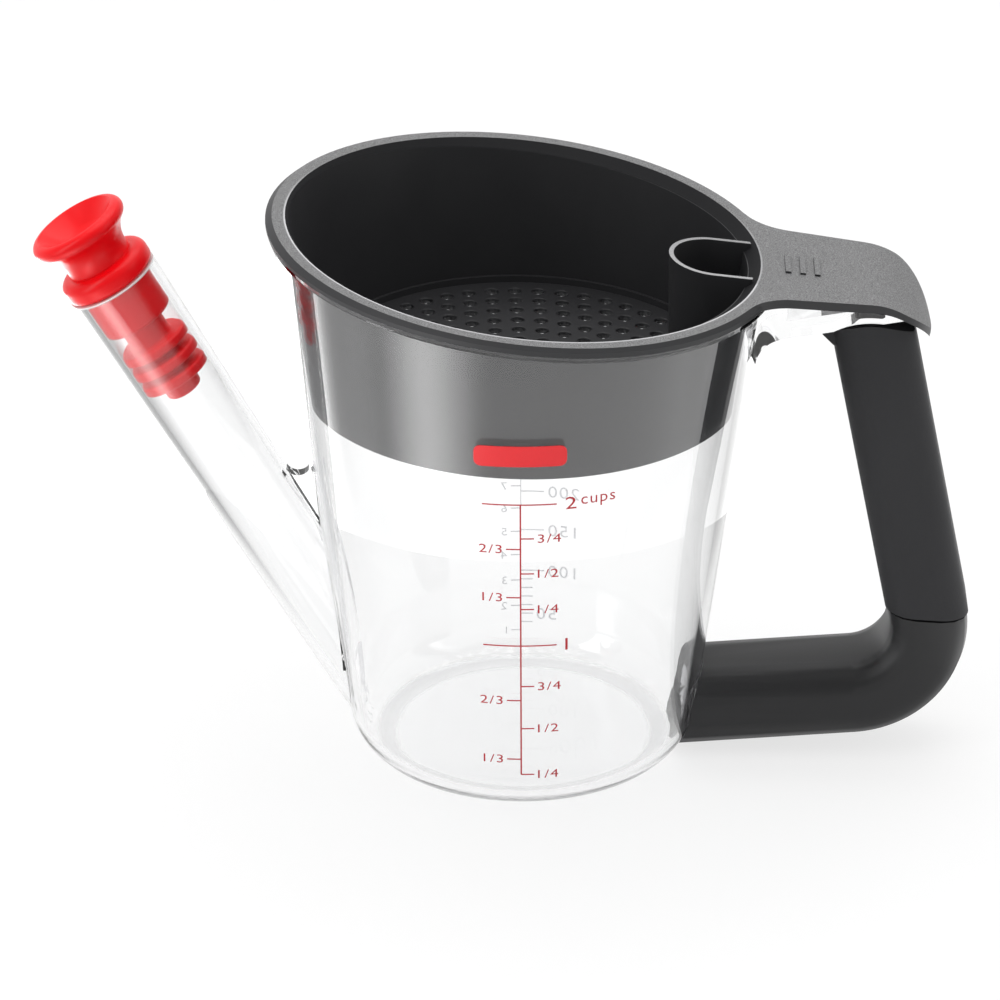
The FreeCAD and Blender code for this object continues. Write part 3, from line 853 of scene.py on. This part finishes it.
TIP_DEPTH = 30.4
TIP_RADIUS = 4.2
TIP_ROUND = 1.0
STEM_RADIUS = 4.9
STEM_FILLET = 0.5
FIN_DEPTHS = (25.3, 21.25, 17.2)
FIN_RADIUS = 7.85
FIN_HALF = 1.2
FIN_EDGE = 0.7
PLUG_DEPTH = 10.8
PLUG_RADIUS = 8.0
PLUG_ROUND = 1.5
DISC_FOOT = 0.2
DISC_TOP = 5.2
DISC_RADIUS = 10.5
DISC_FOOT_ROUND = 1.2
DISC_TOP_ROUND = 2.4
NECK_CENTRE = (15.2, 6.3)
NECK_ROUND = 7.8
NECK_TURN = 127.46
LIP_CENTRE = (9.3, 14.0)
LIP_ROUND = 1.9
DISH_FLOOR = 10.9
DISH_RADIUS = 11.149


def stopper_outline():
    """From the tip up over the fins, the plug, the disc and the knob into its dish."""
    points = [(0, -TIP_DEPTH), (TIP_RADIUS - TIP_ROUND, -TIP_DEPTH)]
    points += bow(TIP_RADIUS - TIP_ROUND, TIP_ROUND - TIP_DEPTH, TIP_ROUND, -90, 0, 5)[1:]
    hollow = STEM_RADIUS + STEM_FILLET
    for depth in FIN_DEPTHS:
        low, high = -depth - FIN_HALF, -depth + FIN_HALF
        if depth == FIN_DEPTHS[0]:
            points += [(TIP_RADIUS, low)]
        else:
            points += bow(hollow, low - STEM_FILLET, STEM_FILLET, 180, 90, 3)
        points += bow(FIN_RADIUS - FIN_EDGE, low + FIN_EDGE, FIN_EDGE, -90, 0, 4)
        points += bow(FIN_RADIUS - FIN_EDGE, high - FIN_EDGE, FIN_EDGE, 0, 90, 4)
        points += bow(hollow, high + STEM_FILLET, STEM_FILLET, -90, -180, 3)
    points += [(STEM_RADIUS, -PLUG_DEPTH)]
    points += bow(PLUG_RADIUS - PLUG_ROUND, PLUG_ROUND - PLUG_DEPTH, PLUG_ROUND, -90, 0, 6)
    points += [(PLUG_RADIUS, DISC_FOOT)]
    foot, top = DISC_FOOT + DISC_FOOT_ROUND, DISC_TOP - DISC_TOP_ROUND
    points += bow(DISC_RADIUS - DISC_FOOT_ROUND, foot, DISC_FOOT_ROUND, -90, 0, 6)
    points += bow(DISC_RADIUS - DISC_TOP_ROUND, top, DISC_TOP_ROUND, 0, 88, 8)
    neck = bow(*NECK_CENTRE, NECK_ROUND, 188.1, NECK_TURN, 14)
    lip = bow(*LIP_CENTRE, LIP_ROUND, NECK_TURN - 180, 90, 12)
    dish = bow(0.0, DISH_FLOOR + DISH_RADIUS, DISH_RADIUS, -56.53, -90, 14)
    return points + neck + lip[1:] + dish[1:]


stopper = spun("stopper_skin", stopper_outline(), finishes["stopper"])
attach(stopper, "stopper")
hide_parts("stopper")

# %% [markdown]
# ## Table and light
# A pale table keeps the shadow. A wide lamp hangs overhead and a tall one stands at each side.


# %% Pale table, mostly lit by itself so that shadows on it stay faint
TABLE_FILL = 0.72


def table_top():
    f = Finish("table_top")
    cloud = f.noise(3.0, detail=2.0)
    shader = f.surface(
        Base_Color=f.blend(cloud, (0.90, 0.90, 0.90), (0.93, 0.93, 0.93)),
        Roughness=cloud * 0.1 + 0.6,
        Specular_IOR_Level=0.2,
    )
    white = f.node("ShaderNodeEmission", {}, (1.0, 1.0, 1.0, 1.0), 1.0)
    looked_at = f.ray("Is Camera Ray").greater(f.ray("Is Transmission Ray"))
    looked_at = looked_at.greater(f.ray("Is Glossy Ray"))
    return f.done(f.node("ShaderNodeMixShader", {}, looked_at * TABLE_FILL, shader, white))


TABLE_HALF = 4.0
TABLE_DROP = 0.15 * MM

work = bmesh.new()
bmesh.ops.create_grid(work, x_segments=1, y_segments=1, size=TABLE_HALF)
bmesh.ops.translate(work, verts=work.verts, vec=(0, 0, -TABLE_DROP))
table = placed("table", as_mesh("table", work, table_top()))
print("table", 2 * TABLE_HALF, "m wide")


# %% Lamps
def lamp(name, place, aim, width, height, power):
    """Oblong lamp that looks at a place; its power is in watts."""
    data = bpy.data.lights.new(name, "AREA")
    data.shape = "RECTANGLE"
    data.size = width
    data.size_y = height
    data.energy = power
    light = placed(name, data)
    place = Vector(place)
    direction = Vector(aim) - place
    turned = direction.to_track_quat("-Z", "Y").to_matrix().to_4x4()
    light.matrix_world = Matrix.Translation(place) @ turned
    print("lamp", name, power, "W,", round(direction.length, 2), "m away")


MIDDLE = (0.0, 0.0, 0.06)

lamp("overhead", (0.0, 0.15, 0.9), (0.0, 0.0, 0.05), width=0.9, height=0.9, power=5.0)
lamp("left_tall", (-0.75, -0.45, 0.45), MIDDLE, width=0.25, height=0.9, power=3.0)
lamp("right_tall", (0.8, -0.25, 0.45), MIDDLE, width=0.3, height=0.9, power=1.0)

# %% [markdown]
# Sheets just above the table stand in for its pale and shaded parts. One ring is seen only in
# reflections, for the streaks on the band. Two sheets are seen only through the clear plastic,
# for its grey edges.


# %% Sheets on the table, each seen only by mirrored or only by bent light
SHEET_HEIGHT = 1.0
FULL_GLOW = 9.0


def sheet(name, corners, glow, mirrored):
    """Flat shape that throws no light and no shadow, and that the eye does not see."""
    work = bmesh.new()
    for row in corners:
        work.faces.new([work.verts.new(Vector((x, y, SHEET_HEIGHT)) * MM) for x, y in row])
    bmesh.ops.remove_doubles(work, verts=work.verts, dist=0.01 * MM)
    piece = placed(name, as_mesh(name, work, glow))
    piece.visible_camera = False
    piece.visible_diffuse = False
    piece.visible_shadow = False
    piece.visible_glossy = mirrored
    piece.visible_transmission = not mirrored


def lit(name, brightness):
    """Glow whose strength is a sum of values."""
    f = Finish(name)
    f.owner.cycles.emission_sampling = "NONE"
    share = brightness(f) * (1.0 / FULL_GLOW)
    glow = f.node("ShaderNodeEmission", {}, f.blend(share, (0.0, 0.0, 0.0), (FULL_GLOW,) * 3))
    return f.done(glow)


CALM_GLOW = 1.92
STREAK_GLOW = 6.56
FAR_LEFT_GLOW = 6.0


def studio_glow(f):
    """Brightness on the mirrored table round the vessel, by bearing from straight in front."""
    bearing = f.x.maths("ARCTAN2", f.y * -1.0) * math.degrees(1)
    streak = bearing.between(-68.0, -41.0) * (1.0 - bearing.between(-44.0, -12.0))
    far_left = bearing.between(-170.0, -130.0) * (1.0 - bearing.between(-120.0, -94.0))
    return CALM_GLOW + streak * STREAK_GLOW + far_left * FAR_LEFT_GLOW


PAPER_WHITE = 0.99
DEEPEST_GREY = 0.64


def faded(f, amount):
    """Nearly white, greyer by an amount that dies away towards the ends of the sheet."""
    inside = f.y.between(-0.04, 0.02) * (1.0 - f.y.between(0.13, 0.23))
    return PAPER_WHITE - amount * inside * DEEPEST_GREY + f.noise(8.0, detail=1.0) * 0.02


def left_grey(f):
    """White near the spout's shadow line, greying away from it."""
    return faded(f, 1.0 - (f.x + f.y * 0.3).between(-0.12, -0.055))


def right_grey(f):
    """White near the vessel, greying away from it."""
    return faded(f, f.x.between(0.05, 0.10))


def sector(inner, outer, start, finish, steps):
    """Quads of a flat ring between two bearings from straight in front, in degrees."""
    rows = []
    for step in range(steps):
        spokes = [math.radians(start + (finish - start) * k / steps) for k in (step, step + 1)]
        (s0, c0), (s1, c1) = [(math.sin(b), math.cos(b)) for b in spokes]
        rows.append([(inner * s0, -inner * c0), (outer * s0, -outer * c0),
                     (outer * s1, -outer * c1), (inner * s1, -inner * c1)])
    return rows


RING_INNER = 120
REACH = 260
FRONT = -40
BACK = 240
LEFT_AT_FRONT = -43
LEFT_AT_BACK = -127
RIGHT = 52

ring = sector(RING_INNER, REACH, -180, 180, 90)
left = [(-REACH, FRONT), (LEFT_AT_FRONT, FRONT), (LEFT_AT_BACK, BACK), (-REACH, BACK)]
right = [(RIGHT, FRONT), (REACH, FRONT), (REACH, BACK), (RIGHT, BACK)]
sheet("mirrored_glow", ring, lit("studio_glow", studio_glow), True)
sheet("bent_left", [left], lit("bent_left", left_grey), False)
sheet("bent_right", [right], lit("bent_right", right_grey), False)

# %% [markdown]
# The surroundings are plain white where they are looked at, and grey in front where they only
# light the object.

# %% Surroundings: white to the eye, softer as a light, and dimmer in front than behind
DIM = 0.45


def surroundings():
    f = Finish("studio", world=True)
    plain = (1.0, 1.0, 1.0, 1.0)
    white = f.node("ShaderNodeBackground", {}, plain, 1.0)
    bright = f.node("ShaderNodeBackground", {}, plain, 1.0)
    dim = f.node("ShaderNodeBackground", {}, plain, DIM)
    towards_back = f.y.between(-0.7, 0.7) * (1.0 - f.x.between(0.2, 0.9) * 0.7)
    soft = f.node("ShaderNodeMixShader", {}, towards_back, dim, bright)
    looked_at = f.ray("Is Camera Ray").greater(f.ray("Is Transmission Ray"))
    return f.done(f.node("ShaderNodeMixShader", {}, looked_at, soft, white))


bpy.context.scene.world = surroundings()
bpy.context.scene.view_settings.view_transform = "Standard"
